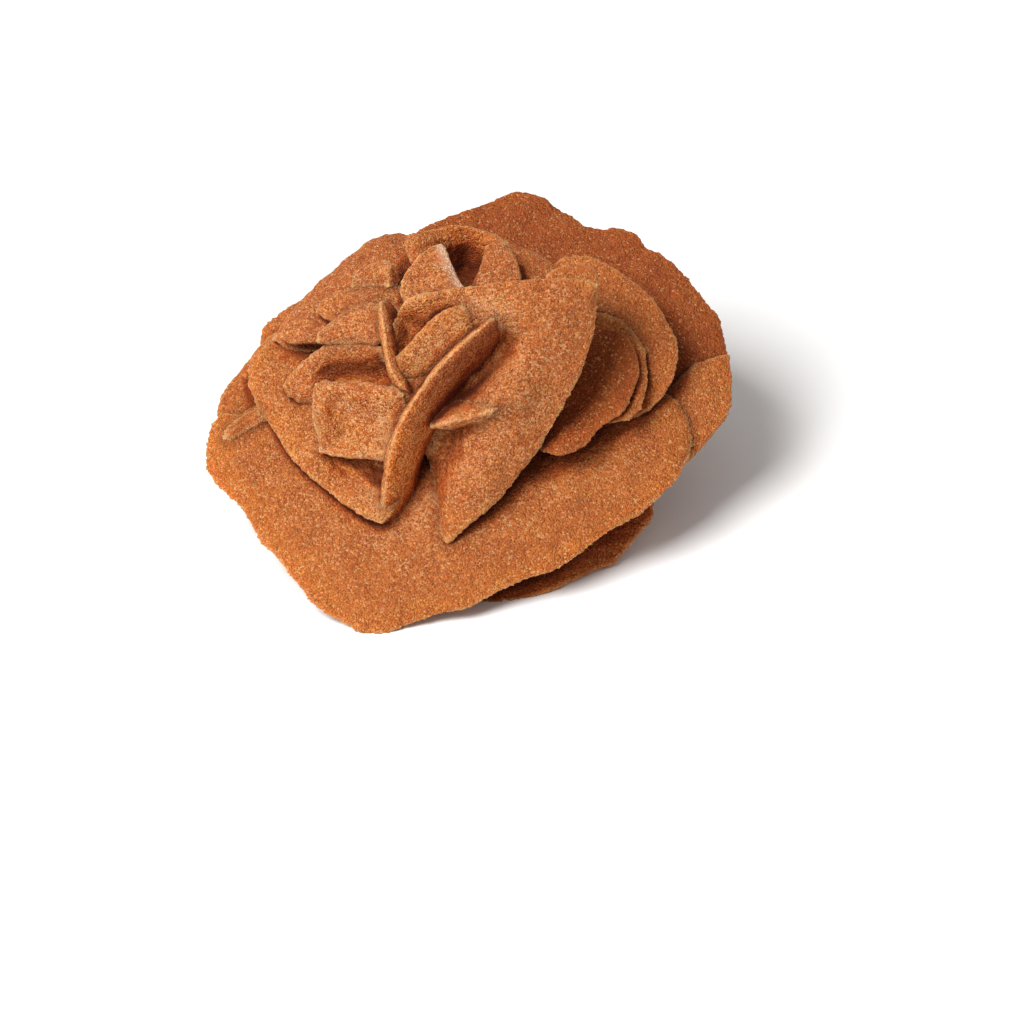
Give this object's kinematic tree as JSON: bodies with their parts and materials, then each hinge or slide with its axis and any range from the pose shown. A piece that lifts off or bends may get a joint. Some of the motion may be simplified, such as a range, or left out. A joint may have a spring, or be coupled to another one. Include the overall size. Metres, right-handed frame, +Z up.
{
  "type": "gypsum sand rose",
  "caption": "Desert rose of intergrown lens-shaped gypsum crystals full of sand, leaning back on the edges of its lower plates.",
  "frame": {"origin": "on the floor under the middle of the bounding box", "axes": "+Z up, +X to the right of the leaning face, which looks along -Y and upward"},
  "size_m": [0.0778, 0.0708, 0.0426],
  "materials": {
    "gypsum_amber": "sandy gypsum, warm orange-brown, matt with fine pale sparkling grains",
    "gypsum_tawny": "sandy gypsum, duller brown, matt with fine pale grains",
    "gypsum_russet": "sandy gypsum, red-brown, matt, on the shaded and lower crystals",
    "gypsum_pale": "sandy gypsum, pale tan, matt with frosted crests"
  },
  "bodies": {
    "root": {"base_plate": "gypsum_amber", "front_sail": "gypsum_amber", "left_fan": "gypsum_amber", "cross_ridge": "gypsum_pale", "side_ridge": "gypsum_pale", "inner_fan": "gypsum_amber", "upright_ridge": "gypsum_pale", "box_petal": "gypsum_pale", "box_rib": "gypsum_pale", "shoulder_petal": "gypsum_amber", "collar_petal": "gypsum_amber", "left_shoulder": "gypsum_tawny", "collar_band": "gypsum_tawny", "crown_petal_white": "gypsum_pale", "crown_petal_round": "gypsum_tawny", "crown_petal_back": "gypsum_tawny", "crown_arch": "gypsum_tawny", "crown_spur": "gypsum_pale", "sail_corner": "gypsum_pale", "right_petal_inner": "gypsum_russet", "right_petal_middle": "gypsum_tawny", "right_petal_outer": "gypsum_tawny", "back_dome": "gypsum_tawny", "right_rim_plate": "gypsum_tawny", "left_rim_plate": "gypsum_tawny", "left_spur": "gypsum_pale", "back_plate": "gypsum_russet", "under_plate": "gypsum_tawny", "sail_root": "gypsum_russet", "crown_root": "gypsum_russet", "rear_foot_left": "gypsum_russet", "rear_foot_right": "gypsum_russet", "rear_foot_middle": "gypsum_russet", "rear_fan_left": "gypsum_tawny", "rear_fan_right": "gypsum_tawny", "under_fan": "gypsum_russet", "under_fan_left": "gypsum_tawny", "under_fan_right": "gypsum_tawny", "rear_petal_left": "gypsum_tawny", "rear_petal_right": "gypsum_tawny"}
  },
  "joints": []
}
